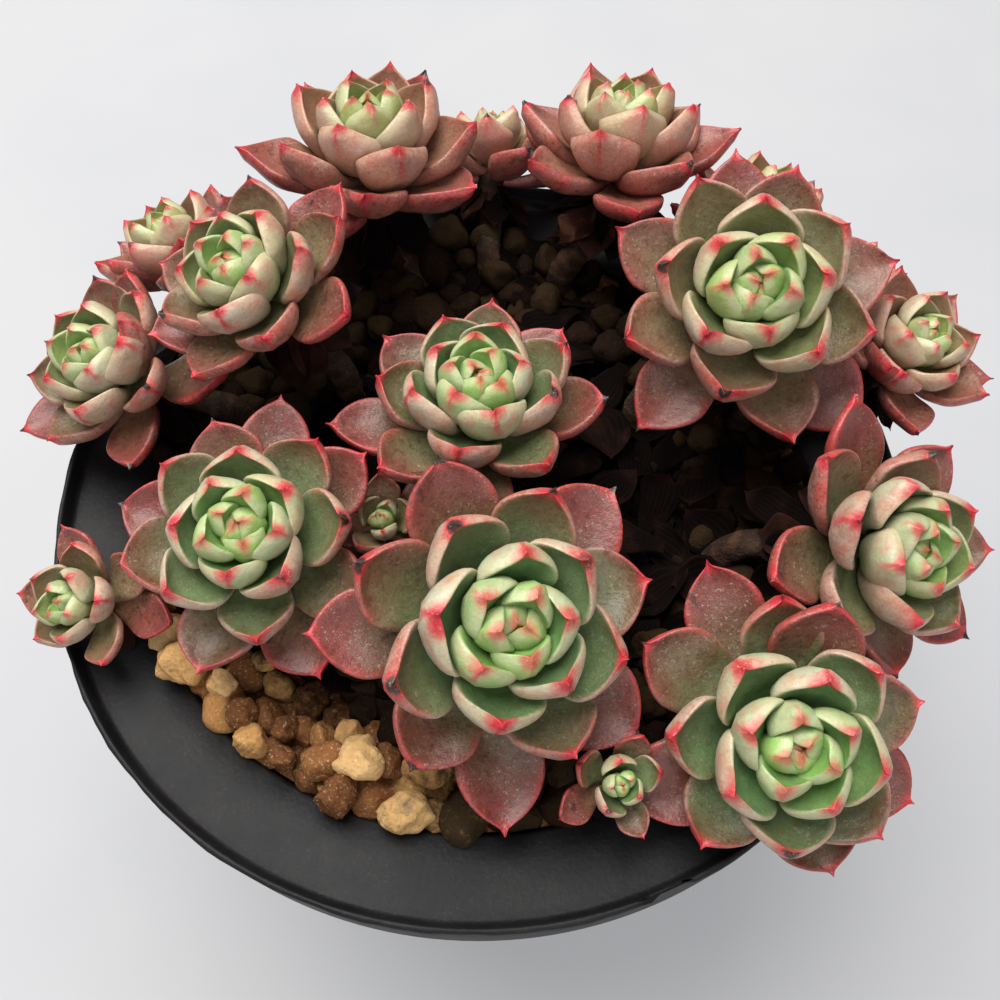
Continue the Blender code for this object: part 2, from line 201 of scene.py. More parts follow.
def spiral(head):
    """The rosette's leaves from the bud out."""
    draw = random.Random(head.name)
    leaves = []
    for number in range(head.leaves):
        age = number / (head.leaves - 1)
        azimuth = head.first + head.turn * GOLDEN_ANGLE * number
        azimuth += AZIMUTH_SCATTER * age * draw.uniform(-1.0, 1.0)
        pitch = head.opening * (1.0 - (1.0 - age) ** 1.25)
        pitch += PITCH_SCATTER * age * draw.uniform(-1.0, 1.0)
        length = head.reach * MM * (0.38 + 0.55 * age) * draw.uniform(0.95, 1.05)
        leaves.append(Leaf(age, math.radians(azimuth), math.radians(pitch), length))
    return leaves


def solid_line(head, leaf, u):
    """Where a share u of a solid leaf's middle line lies: outward and upward of the heart."""
    reach = head.reach * MM
    curl = math.radians(44.0 - 22.0 * leaf.age)
    start = leaf.pitch + 0.5 * curl
    slope = start - curl * u
    across = reach * (0.05 + 0.05 * leaf.age)
    across += leaf.length * (math.cos(slope) - math.cos(start)) / curl
    height = reach * (0.10 - 0.34 * leaf.age)
    height += leaf.length * (math.sin(start) - math.sin(slope)) / curl
    return across, height, slope


def fleshy_line(head, leaf, u):
    """The fine leaf's middle line, as arrays: the solid's root and tip, with a fuller bend."""
    root = Vector(solid_line(head, leaf, 0.0)[:2])
    tip = Vector(solid_line(head, leaf, 1.0)[:2])
    chord = tip - root
    heading = math.atan2(chord.x, chord.y)
    heading += math.radians(YOUNG_OPENING) * max(0.0, 1.0 - leaf.age / 0.45)
    curl = math.radians(28.0 - 8.0 * leaf.age + EXTRA_CURL * math.sin(math.pi * leaf.age) ** 2)
    radius = chord.length / (2.0 * math.sin(0.5 * curl))
    start = heading + 0.5 * curl
    slope = start - curl * u
    across = root.x + radius * (np.cos(slope) - math.cos(start))
    height = root.y + radius * (math.sin(start) - np.sin(slope))
    return across, height, slope


def leaf_thickness(head, leaf):
    """Thickness of a leaf at its fattest."""
    return head.reach * MM * (0.10 + 0.04 * leaf.age)


def leaf_half_width(head, leaf):
    """Half of a leaf's width at its widest: leaves past the bud are as broad as old ones."""
    return 0.24 * head.reach * MM * min(1.0, 0.47 + 1.5 * leaf.age)


# %% [markdown]
# ## Leaves bent clear
#
# Where rosettes crowd, the solid model raised and swayed a leaf until it hung clear of its
# neighbours. The tip of every leaf is a corner of the solid. So instead of testing again for
# crossings, each leaf tries the same bends and keeps the one whose tip is found in the solid.

# %% Find each leaf's settled bend in the solid
BEND_STEP = 6.0
BEND_STEPS = 10
SWAYS = (0.0, 9.0, -9.0)
TIP_TOLERANCE = 0.05 * MM


def leaf_tip(head, leaf):
    """The corner that the solid leaf ends in."""
    across, height, slope = solid_line(head, leaf, 1.0)
    drop = 0.15 * leaf_thickness(head, leaf)
    outward = across + drop * math.cos(slope)
    local = (
        outward * math.cos(leaf.azimuth),
        outward * math.sin(leaf.azimuth),
        height - drop * math.sin(slope),
    )
    return head_matrix(head) @ Vector(local)


def corners_of(node):
    """A search tree over a solid's corners."""
    vertices = frame["nodes"][node].data.vertices
    tree = KDTree(len(vertices))
    for vertex in vertices:
        tree.insert(vertex.co, vertex.index)
    tree.balance()
    return tree


def heart_leaves(head):
    """The youngest leaves, still folded in the middle of the bud."""
    leaves = []
    for number in range(1, HEART_LEAVES + 1):
        azimuth = math.radians(head.first - head.turn * GOLDEN_ANGLE * number)
        length = head.reach * MM * (0.37 - 0.03 * number)
        leaves.append(Leaf(0.0, azimuth, math.radians(-6.0 - 5.0 * number), length))
    return leaves


def settled_leaves(head):
    """The rosette's leaves as they are bent in the solid."""
    tree = corners_of(head.name)
    found = heart_leaves(head)
    for leaf in spiral(head):
        bends = [
            leaf._replace(
                azimuth=leaf.azimuth + math.radians(sway),
                pitch=leaf.pitch - math.radians(BEND_STEP * step),
                length=leaf.length * (1.0 - 0.02 * step),
            )
            for step in range(BEND_STEPS)
            for sway in SWAYS
        ]
        match = [bent for bent in bends if tree.find(leaf_tip(head, bent))[2] < TIP_TOLERANCE]
        if match:
            found.append(match[0])
        elif leaf.age < 0.3:
            found.append(leaf)
    return found


leaves_of = {head.name: settled_leaves(head) for head in HEADS}
for head in HEADS:
    print(head.name, len(leaves_of[head.name]), "of", head.leaves, "leaves")

# %% [markdown]
# ## One fleshy leaf
#
# A leaf of this plant is a fat spoon: narrow at the root, widest two thirds of the way along,
# then rounded to a short red point. Its upper face is dished, its back is full and keeled near
# the tip. It could be sculpted or cut from a cage. A grid of rings along the middle line is
# exact, light and easy to colour afterwards, because every vertex knows where on the leaf it is.

# %% Shape of a leaf as rings along its middle line
RINGS = 26
RING_POINTS = 26
ROOT_START = -0.05
WIDEST = 0.66
ROUND_END = 0.955
POINT_START = 0.86
UPPER_SHARE = 0.42
SCOOP = 0.36
SIDE_SQUARENESS = 0.66   # below 1 the cross section is boxier than an ellipse
FACE_SQUARENESS = 0.72
TWIST = 14.0
SIDE_SWAY = 0.05


def smooth_step(low, high, value):
    """0 below low, 1 above high, and an even curve between."""
    share = np.clip((value - low) / (high - low), 0.0, 1.0)
    return share * share * (3.0 - 2.0 * share)


def width_share(u, pointed):
    """Half width along a leaf, as a share of the widest; pointed 0 is blunt, 1 is tapered."""
    widest = WIDEST - 0.09 * pointed
    rising = 0.30 + 0.70 * np.sin(0.5 * math.pi * np.clip(u / widest, 0.0, 1.0)) ** 1.35
    past = np.clip((u - widest) / (ROUND_END - widest), 0.0, 1.0)
    rounded = np.clip(1.0 - past ** (1.9 - 0.5 * pointed), 0.0, 1.0) ** (0.68 + 0.34 * pointed)
    point = 0.36 * np.clip((1.0 - u) / (1.0 - POINT_START), 0.0, 1.0) ** 1.3
    body = np.where(u < widest, rising, rounded)
    return np.maximum(body, np.minimum(point, 1.0)) + 0.006


def thickness_share(u):
    """Thickness along a leaf, as a share of the fattest."""
    rising = 0.55 + 0.45 * np.sin(0.5 * math.pi * np.clip(u / 0.45, 0.0, 1.0))
    falling = 1.0 - 0.45 * smooth_step(0.55, 0.95, u)
    return rising * falling * (1.0 - 0.85 * smooth_step(0.90, 1.0, u))


def leaf_grid(head, leaf, draw, plump=1.0, slim=1.0, grid=(RINGS, RING_POINTS)):
    """Points of one leaf in its rosette's own frame, and where on the leaf each one is."""
    rings, ring_points = grid
    t = np.linspace(0.0, 1.0, rings)
    u = ROOT_START + (1.0 - ROOT_START) * t * (1.55 - 0.55 * t)
    turn = np.arange(ring_points) * math.tau / ring_points
    side = np.sign(np.cos(turn)) * np.abs(np.cos(turn)) ** SIDE_SQUARENESS
    face = np.sin(turn)
    widest = leaf_half_width(head, leaf) * draw.uniform(0.94, 1.08) * slim
    half_width = widest * width_share(u, head.blush)
    young = 1.0 - leaf.age
    thick = leaf_thickness(head, leaf) * thickness_share(u) * plump * (1.0 + 0.6 * young)
    x = half_width[:, None] * side[None, :]
    rounded = np.sign(face) * np.abs(face) ** FACE_SQUARENESS
    belly = np.where(rounded > 0.0, UPPER_SHARE * rounded, (1.0 - UPPER_SHARE) * rounded)
    y = thick[:, None] * belly[None, :]
    cup = (0.30 + 0.22 * young) * draw.uniform(0.8, 1.2)
    dish = cup * smooth_step(0.10, 0.60, u) * half_width
    y += dish[:, None] * (side**2)[None, :]
    scoop = SCOOP * cup * (widest - half_width) * smooth_step(0.55, 0.80, u)
    middle = np.exp(-((side / 0.45) ** 2))[None, :]
    y -= (0.14 * thick)[:, None] * middle * (face > 0.0)[None, :]
    keel = smooth_step(0.5, 0.85, u) * (1.0 - smooth_step(0.88, 0.98, u)) * 0.16 * thick
    y -= keel[:, None] * np.exp(-((side / 0.30) ** 2))[None, :] * (face < 0.0)[None, :]
    phase = [draw.uniform(0.0, math.tau) for _ in range(4)]
    ripple = np.sin(9.0 * u[:, None] + phase[0] + 1.6 * side[None, :])
    ripple += 0.6 * np.sin(15.0 * u[:, None] + phase[1] - 2.3 * side[None, :])
    y += 0.007 * leaf.length * ripple * smooth_step(0.1, 0.5, u)[:, None]
    twist = math.radians(draw.uniform(-TWIST, TWIST)) * u[:, None]
    turned_x = x * np.cos(twist) - y * np.sin(twist)
    turned_y = x * np.sin(twist) + y * np.cos(twist)
    turned_x += leaf.length * draw.uniform(-SIDE_SWAY, SIDE_SWAY) * (u[:, None] ** 2)
    turned_y += scoop[:, None]
    across, height, slope = fleshy_line(head, leaf, u)
    out = across[:, None] - turned_y * np.cos(slope)[:, None]
    up = height[:, None] + turned_y * np.sin(slope)[:, None]
    cos_a = math.cos(leaf.azimuth)
    sin_a = math.sin(leaf.azimuth)
    points = np.stack((out * cos_a - turned_x * sin_a, out * sin_a + turned_x * cos_a, up), -1)
    marks = {
        "along": np.repeat(np.clip(u, 0.0, 1.0)[:, None], ring_points, 1),
        "across": np.repeat(side[None, :], rings, 0),
        "face": np.repeat(face[None, :], rings, 0),
    }
    return points.reshape(-1, 3), {name: value.ravel() for name, value in marks.items()}


def grid_faces(rings, points):
    """Faces of a tube of rings, closed at both ends; rings listed downward make them look out."""
    i = np.arange(rings - 1)[:, None] * points
    j = np.arange(points)[None, :]
    k = (j + 1) % points
    quads = np.stack((i + j, i + j + points, i + k + points, i + k), -1).reshape(-1, 4)
    root = list(range(points))
    tip = [(rings - 1) * points + n for n in reversed(range(points))]
    return [*quads.tolist(), root, tip]


def outgrowing_faces(rings, points):
    """The same faces turned over, for leaves and stems, whose rings run outward and upward."""
    return [[face[0], *face[:0:-1]] for face in grid_faces(rings, points)]


print("faces per leaf", (RINGS - 1) * RING_POINTS + 2)

# %% [markdown]
# ## Building the rosettes
#
# Each rosette becomes one mesh object that replaces its solid node. Besides its points, the mesh
# carries a few numbers per vertex: how far along and across the leaf it is, which face it is on,
# how old the leaf is, and a random tone. The material reads them, so colour follows the leaf and
# not the camera.

# %% Join points, faces and marks into one mesh object
MARKS = ("along", "across", "face", "age", "tone", "blush")
LIVING, BARK, DRIED = 0, 1, 2


def mesh_piece(name, parts, materials):
    """A smooth shaded mesh object from parts of points, faces, marks and a material's number."""
    points, faces, marks, slots = gather(parts)
    mesh = bpy.data.meshes.new(name)
    mesh.from_pydata([tuple(point) for point in points], [], faces)
    for mark, values in marks.items():
        layer = mesh.attributes.new(mark, "FLOAT", "POINT")
        layer.data.foreach_set("value", np.asarray(values, np.float32))
    for material in materials:
        mesh.materials.append(material)
    mesh.polygons.foreach_set("material_index", slots)
    mesh.shade_smooth()
    piece = bpy.data.objects.new(name, mesh)
    bpy.context.scene.collection.objects.link(piece)
    return piece


def transformed(points, matrix):
    """Points moved by a 4 x 4 matrix."""
    m = np.array(matrix)
    return points @ m[:3, :3].T + m[:3, 3]


def gather(parts):
    """Stack (points, faces that count from 0, marks, material's number) into one set."""
    points, faces, slots = [], [], []
    marks = {name: [] for name in MARKS}
    first = 0
    for part_points, part_faces, part_marks, slot in parts:
        points.append(part_points)
        faces += [[first + index for index in face] for face in part_faces]
        slots += [slot] * len(part_faces)
        for name in MARKS:
            value = part_marks.get(name, 0.0)
            marks[name].append(np.broadcast_to(value, len(part_points)))
        first += len(part_points)
    return np.concatenate(points), faces, {n: np.concatenate(v) for n, v in marks.items()}, slots


def rosette_parts(head):
    """Every living leaf of a rosette, ready to gather."""
    draw = random.Random(head.name + " fine")
    matrix = head_matrix(head)
    parts = []
    for leaf in leaves_of[head.name]:
        points, marks = leaf_grid(head, leaf, draw)
        marks |= {"age": leaf.age, "tone": draw.random(), "blush": head.blush}
        faces = outgrowing_faces(RINGS, RING_POINTS)
        parts.append((transformed(points, matrix), faces, marks, LIVING))
    return parts


# %% [markdown]
# ## Colours and small node helpers
#
# Colours are easiest to judge as 0 to 255 screen values, but shaders add up light, so they are
# turned into linear values first. A few helpers keep the node graphs short enough to read.

# %% Colour and node helpers
def paint(red, green, blue):
    """A screen colour, 0 to 255, as a linear shader colour."""
    linear = []
    for value in (red, green, blue):
        v = value / 255.0
        linear.append(v / 12.92 if v <= 0.04045 else ((v + 0.055) / 1.055) ** 2.4)
    return (*linear, 1.0)


class Graph:
    """Short calls for the few shader nodes that these materials use."""

    def __init__(self, tree):
        self.tree = tree

    def node(self, kind, **settings):
        made = self.tree.nodes.new(kind)
        for name, value in settings.items():
            setattr(made, name, value)
        return made

    def feed(self, socket, value):
        if isinstance(value, bpy.types.NodeSocket):
            self.tree.links.new(value, socket)
        elif value is not None:
            socket.default_value = value

    def mark(self, name):
        return self.node("ShaderNodeAttribute", attribute_name=name).outputs["Fac"]

    def math(self, operation, a, b=None, c=None):
        made = self.node("ShaderNodeMath", operation=operation)
        for socket, value in zip(made.inputs, (a, b, c)):
            self.feed(socket, value)
        return made.outputs[0]

    def times(self, first, *others):
        for other in others:
            first = self.math("MULTIPLY", first, other)
        return first

    def plus(self, first, *others):
        for other in others:
            first = self.math("ADD", first, other)
        return first

    def swing(self, value, size):
        """A value from 0 to 1 as a push of up to half the size either way."""
        return self.times(self.math("SUBTRACT", value, 0.5), size)

    def mix(self, share, a, b, blend="MIX"):
        made = self.node("ShaderNodeMix", data_type="RGBA", blend_type=blend)
        self.feed(made.inputs[0], share)
        self.feed(made.inputs[6], a)
        self.feed(made.inputs[7], b)
        return made.outputs[2]

    def band(self, value, low, high, bottom=0.0, top=1.0):
        made = self.node("ShaderNodeMapRange", interpolation_type="SMOOTHSTEP")
        for socket, number in zip(made.inputs, (value, low, high, bottom, top)):
            self.feed(socket, number)
        return made.outputs[0]

    def noise(self, place, scale, detail=3.0, roughness=0.55):
        made = self.node("ShaderNodeTexNoise")
        self.feed(made.inputs["Vector"], place)
        made.inputs["Scale"].default_value = scale
        made.inputs["Detail"].default_value = detail
        made.inputs["Roughness"].default_value = roughness
        return made.outputs["Fac"]

    def ramp(self, value, stops):
        """Colours at places from 0 to 1; the first two stops are the ramp's ends."""
        made = self.node("ShaderNodeValToRGB")
        points = made.color_ramp.elements
        for number, (place, *colour) in enumerate(stops):
            point = points[number] if number < 2 else points.new(place)
            point.position = place
            point.color = paint(*colour)
        self.feed(made.inputs[0], value)
        return made.outputs[0]

    def surface(self, colour, roughness, specular):
        """What the Principled shader shows; plain numbers go onto its own sockets."""
        self.feed(self.shader.inputs["Base Color"], colour)
        self.feed(self.shader.inputs["Roughness"], roughness)
        self.shader.inputs["Specular IOR Level"].default_value = specular

    def group(self, group, **values):
        made = self.node("ShaderNodeGroup", node_tree=group)
        for name, value in values.items():
            self.feed(made.inputs[name.replace("_", " ")], value)
        return made.outputs


def new_material(name):
    """A material with an empty Principled shader and its graph."""
    material = bpy.data.materials.new(name)
    material.use_nodes = True
    graph = Graph(material.node_tree)
    graph.shader = material.node_tree.nodes["Principled BSDF"]
    graph.place = graph.node("ShaderNodeTexCoord").outputs["Object"]
    return material, graph


def bump(graph, height, depth, strength=1.0):
    """Feed a height into the shader's normal: depth is its real size in metres."""
    made = graph.node("ShaderNodeBump")
    made.inputs["Strength"].default_value = strength
    made.inputs["Distance"].default_value = depth
    graph.feed(made.inputs["Height"], height)
    graph.feed(graph.shader.inputs["Normal"], made.outputs["Normal"])


# %% [markdown]
# ## Dust, shared by leaves, pot and stems
#
# Everything on this plant carries the same fine pale dust: a thin even veil with small denser
# specks. Because several materials need it, it is a node group with named inputs. It puts out a
# mask only, and each material decides what its dust looks like.

# %% The dust group
def new_group(name, inputs, outputs):
    """An empty shader group with float and vector inputs and float outputs."""
    group = bpy.data.node_groups.new(name, "ShaderNodeTree")
    for label, value in inputs:
        kind = "NodeSocketVector" if value is None else "NodeSocketFloat"
        socket = group.interface.new_socket(name=label, in_out="INPUT", socket_type=kind)
        if value is not None:
            socket.default_value = value
    for label in outputs:
        group.interface.new_socket(name=label, in_out="OUTPUT", socket_type="NodeSocketFloat")
    return group


def dust_group():
    """Dust as a mask: a cloudy veil, and specks of a tenth to a quarter of a millimetre."""
    group = new_group("dust", [("Place", None), ("Veil", 0.3), ("Specks", 0.3)], ["Mask"])
    graph = Graph(group)
    given = graph.node("NodeGroupInput").outputs
    cloud = graph.band(graph.noise(given["Place"], 140.0, 4.0), 0.36, 0.70)
    coarse = graph.band(graph.noise(given["Place"], 1500.0, 2.0, 0.7), 0.60, 0.68)
    fine = graph.band(graph.noise(given["Place"], 4200.0, 2.0, 0.6), 0.56, 0.68)
    specks = graph.math("MAXIMUM", coarse, graph.times(fine, 0.7))
    patchy = graph.times(specks, graph.band(cloud, 0.0, 0.8, 0.25, 1.0))
    veil = graph.times(cloud, given["Veil"])
    dots = graph.times(patchy, given["Specks"])
    both = graph.math("MAXIMUM", veil, dots)
    graph.feed(graph.node("NodeGroupOutput").inputs["Mask"], both)
    return group


DUST = dust_group()
print("dust group with", len(DUST.nodes), "nodes")

# %% [markdown]
# ## The leaf's skin
#
# Young leaves in the bud are lime green and the open ones blue-green above. Sun and age turn
# them dusky pink, backs first. Margins, keel and tip are red. A powdery bloom lightens
# everything, and dirt and small scars sit on the oldest leaves. Each of these is one mask over
# the marks that the mesh carries, mixed in the order in which they lie on the leaf.

# %% Leaf material
def leaf_material():
    material, g = new_material("echeveria_leaf")
    along, across, face = g.mark("along"), g.mark("across"), g.mark("face")
    age, tone, blush = g.mark("age"), g.mark("tone"), g.mark("blush")
    edge = g.math("ABSOLUTE", across)
    cloud = g.noise(g.place, 95.0, 4.0)
    blotch = g.noise(g.place, 210.0, 4.0, 0.6)
    older = g.plus(age, g.swing(tone, 0.24), g.swing(blotch, 0.35))
    toward_tip = g.times(g.math("SUBTRACT", along, 0.75), g.band(age, 0.2, 0.7, 0.0, 0.55))
    above = g.ramp(g.plus(older, toward_tip), [
        (0.0, 124, 168, 88),
        (1.0, 100, 44, 36),
        (0.16, 108, 152, 84),
        (0.34, 84, 126, 80),
        (0.56, 78, 108, 70),
        (0.76, 92, 90, 60),
        (0.90, 88, 62, 38),
    ])
    below = g.ramp(older, [
        (0.0, 146, 184, 106),
        (1.0, 132, 74, 72),
        (0.16, 152, 178, 126),
        (0.38, 178, 180, 158),
        (0.60, 174, 150, 134),
        (0.80, 154, 104, 96),
    ])
    skin = g.mix(g.band(face, 0.10, 0.50), below, above)
    sun = g.band(g.plus(age, g.times(along, 0.5)), 0.1, 0.9)
    skin = g.mix(g.times(sun, blush, 0.78), skin, paint(172, 96, 86))
    behind = g.band(face, 0.25, -0.25)
    warm = g.times(g.band(blotch, 0.44, 0.62), g.band(along, 0.3, 0.9), behind)
    warm = g.times(warm, g.band(age, 0.05, 0.4, 0.15, 0.6))
    skin = g.mix(warm, skin, paint(186, 124, 104))
    flush = g.band(g.plus(age, g.plus(cloud, along)), 1.75, 2.6)
    skin = g.mix(g.times(flush, 0.7), skin, paint(128, 56, 56))
    rim = g.times(g.band(edge, 0.80, 1.0), g.band(along, 0.25, 0.85))
    pale = g.times(rim, g.band(age, 1.0, 0.2, 0.10, 0.60))
    skin = g.mix(pale, skin, g.mix(g.band(age, 0.1, 0.6), paint(184, 190, 150), paint(196, 152, 132)))
    ruddy = g.times(g.band(edge, 0.35, 1.0), g.band(age, 0.45, 0.95, 0.0, 0.55))
    skin = g.mix(g.times(ruddy, g.band(along, 0.3, 0.9)), skin, paint(132, 44, 44))
    red = g.plus(g.times(blotch, 1.3), g.times(along, 0.7), g.times(age, 0.8))
    red = g.times(g.band(red, 1.55, 2.15), g.band(edge, 0.74, 0.98))
    skin = g.mix(g.times(red, 0.85), skin, paint(178, 56, 56))
    near = g.plus(edge, g.swing(blotch, 0.5))
    reached = g.plus(along, g.band(age, 0.1, 0.6, -0.14, 0.0))
    keel = g.times(g.band(near, 0.30, 0.02), g.band(reached, 0.58, 0.88))
    keel = g.times(keel, behind, g.band(age, 0.0, 0.3, 0.6, 0.9))
    skin = g.mix(keel, skin, paint(186, 48, 62))
    tip = g.plus(along, g.swing(blotch, 0.10))
    at_tip = g.times(g.band(tip, 0.885, 0.96), g.band(age, 0.0, 0.35, 0.7, 1.0))
    skin = g.mix(at_tip, skin, paint(188, 40, 54))
    withered = g.plus(along, g.times(g.band(tone, 0.55, 0.95), 0.05), g.swing(blotch, 0.05))
    dark_tip = g.times(g.band(withered, 0.985, 1.0), g.band(tone, 0.62, 0.75))
    dark_tip = g.times(dark_tip, g.band(age, 0.25, 0.5))
    skin = g.mix(dark_tip, skin, paint(48, 26, 24))
    lighter = g.noise(g.place, 420.0, 4.0, 0.68)
    skin = g.mix(g.band(lighter, 0.35, 0.65, 0.0, 0.6), skin, paint(170, 164, 148), "SOFT_LIGHT")
    pores = g.band(g.noise(g.place, 1900.0, 2.0, 0.6), 0.46, 0.34)
    skin = g.mix(g.times(pores, g.band(age, 0.2, 0.8, 0.10, 0.42)), skin, paint(66, 46, 40))
    mottled = g.band(g.noise(g.place, 760.0, 4.0, 0.7), 0.50, 0.66)
    mottled = g.times(mottled, g.band(age, 0.35, 0.9, 0.05, 0.58))
    skin = g.mix(mottled, skin, paint(62, 38, 30))
    powder = g.group(DUST, Place=g.place, Veil=0.06, Specks=0.52)["Mask"]
    rubbed = g.band(g.plus(behind, age), 0.0, 1.4, 0.30, 1.0)
    powder = g.times(powder, rubbed)
    skin = g.mix(powder, skin, paint(188, 176, 160))
    scars = g.band(g.noise(g.place, 230.0, 3.0, 0.65), 0.64, 0.70)
    scars = g.times(scars, g.band(age, 0.35, 0.9))
    skin = g.mix(g.times(scars, 0.7), skin, paint(56, 36, 30))
    g.surface(skin, g.plus(0.36, g.times(powder, 0.5)), 0.45)
    bump(g, lighter, 0.00026)
    return material


LEAF_SKIN = leaf_material()
print("leaf skin has", len(LEAF_SKIN.node_tree.nodes), "nodes")

# %% [markdown]
# ## Woody stems
#
# Under each rosette a short woody stem comes up out of the gravel and bends round to the
# rosette's axis. It follows the solid's stem: straight up out of its hole, a smooth bend, then a
# swelling core that the leaves grow from. Old leaf scars ring the bark, so the tube's radius
# swells and dips along its length and the bark's colour follows the same rings.

# %% Stem along the solid's route
BED_RADIUS = 72.0 * MM
BED_EDGE_LEVEL = 111.5 * MM
GRAVEL_INNER = 48.0 * MM
SOIL_CROWN = 5.0 * MM
STEM_DEPTH = 24.0 * MM
STEM_FOOT_SHARE = 0.66
BACK_FOOT_SHARE = 0.92
STEM_FOOT_LIMIT = 61.0 * MM
STEM_RINGS = 64
STEM_SIDES = 18

def bed_level(radius):
    """Top of the bed: a low crown of soil in the middle, level gravel round it."""
    share = min(radius / GRAVEL_INNER, 1.0)
    return BED_EDGE_LEVEL + SOIL_CROWN * (1.0 - share * share)


def stem_stops(head):
    """Points and radii from the stem's lower end to the middle of the rosette."""
    reach = head.reach * MM
    axis = head_axis(head)
    heart = head_matrix(head).translation
    share_y = BACK_FOOT_SHARE if head.y > 0 else STEM_FOOT_SHARE
    foot = Vector((head.x * STEM_FOOT_SHARE * MM, head.y * share_y * MM, 0.0))
    foot *= min(1.0, STEM_FOOT_LIMIT / foot.length)
    thick = (1.5 + 0.055 * head.reach) * MM
    low = Vector((foot.x, foot.y, BED_EDGE_LEVEL - STEM_DEPTH))
    out = Vector((foot.x, foot.y, bed_level(foot.length) + 2.0 * MM))
    neck = heart - axis * 0.34 * reach
    pull = 0.45 * (neck - out).length
    bend = (out, out + Vector((0.0, 0.0, pull)), neck - axis * pull, neck)
    stops = [(low, thick)]
    for t in np.linspace(0.0, 1.0, 9):
        s = 1.0 - t
        point = s**3 * bend[0] + 3 * s * s * t * bend[1] + 3 * s * t * t * bend[2] + t**3 * bend[3]
        stops.append((point, thick))
    stops.append((heart - axis * 0.24 * reach, 0.15 * reach))
    stops.append((heart + axis * 0.14 * reach, 0.07 * reach))
    return stops


def tube(route, radii, sides):
    """Rings of points round a route, turned as little as possible from one to the next."""
    ahead = np.gradient(route, axis=0)
    ahead /= np.linalg.norm(ahead, axis=1)[:, None]
    side = np.cross(ahead[0], (0.13, 1.0, 0.07))
    rings = []
    turn = np.arange(sides) * math.tau / sides
    for place, along, radius in zip(route, ahead, radii):
        side = side - along * np.dot(side, along)
        side /= np.linalg.norm(side)
        other = np.cross(along, side)
        ring = np.cos(turn)[:, None] * side + np.sin(turn)[:, None] * other
        rings.append(place + ring * np.broadcast_to(radius, sides)[:, None])
    return np.concatenate(rings)


def stem_part(head):
    """The stem's tube, with leaf scars as raised rings."""
    draw = random.Random(head.name + " stem")
    stops = stem_stops(head)
    places = np.array([place for place, _ in stops])
    steps = np.linalg.norm(np.diff(places, axis=0), axis=1)
    run = np.concatenate(([0.0], np.cumsum(steps)))
    at = np.linspace(0.0, run[-1], STEM_RINGS)
    route = np.stack([np.interp(at, run, places[:, axis]) for axis in range(3)], -1)
    radii = np.interp(at, run, [radius for _, radius in stops])
    turn = np.arange(STEM_SIDES)[None, :] * math.tau / STEM_SIDES
    phase = draw.uniform(0.0, math.tau)
    scars = np.sin(at[:, None] / (0.55 * MM) + 1.5 * np.sin(turn + phase) + phase)
    knobs = np.sin(2.0 * turn + at[:, None] / (2.3 * MM) + phase) * np.sin(3.0 * turn - phase)
    rough = radii[:, None] * (1.0 + 0.03 * scars + 0.10 * knobs)
    points = tube(route, rough, STEM_SIDES)
    marks = {"along": np.repeat(at / run[-1], STEM_SIDES), "tone": draw.random()}
    marks["across"] = 0.5 + 0.5 * scars.ravel()
    return points, outgrowing_faces(STEM_RINGS, STEM_SIDES), marks, BARK


# %% [markdown]
# ## Dried leaves
#
# The oldest leaves shrivel and hang under the rosette like a brown skirt. They hide the stems
# and keep the inside of the clump dark. Each one is the living leaf's surface again, made
# shorter, thin, strongly curled and crumpled, and opened past the flat.

# %% Dried leaves under each rosette
DRIED_GRID = (15, 14)
LITTER = 1
LITTER_COUNT = 110
LITTER_REACH = 60.0 * MM
LITTER_SHIFT = 8.0 * MM


def crumple(points, draw, size, depth):
    """Shift points by a few crossing waves, for shrivelled surfaces."""
    shifted = points.copy()
    for _ in range(3):
        wave = np.array([draw.uniform(-1.0, 1.0) for _ in range(3)])
        wave *= math.tau / (size * np.linalg.norm(wave))
        shove = np.array([draw.uniform(-1.0, 1.0) for _ in range(3)])
        swing = np.sin(points @ wave + draw.uniform(0.0, math.tau))
        shifted += swing[:, None] * shove * depth
    return shifted


def dried_parts(head):
    """Shrivelled leaves that hang round the neck of the stem."""
    draw = random.Random(head.name + " dried")
    matrix = head_matrix(head)
    parts = []
    count = max(5, round(head.reach * 0.36))
    for number in range(count):
        azimuth = math.radians(head.first + 75.0 + GOLDEN_ANGLE * number)
        pitch = math.radians(draw.uniform(112.0, 152.0))
        length = head.reach * MM * draw.uniform(0.42, 0.62)
        leaf = Leaf(1.0, azimuth, pitch, length)
        points, marks = leaf_grid(head, leaf, draw, 0.22, 0.62, DRIED_GRID)
        points = crumple(points, draw, 6.0 * MM, 0.35 * MM)
        points[:, 2] -= head.reach * MM * draw.uniform(0.04, 0.20)
        marks |= {"age": 1.0, "tone": draw.random(), "blush": head.blush}
        parts.append((transformed(points, matrix), outgrowing_faces(*DRIED_GRID), marks, DRIED))
    return parts


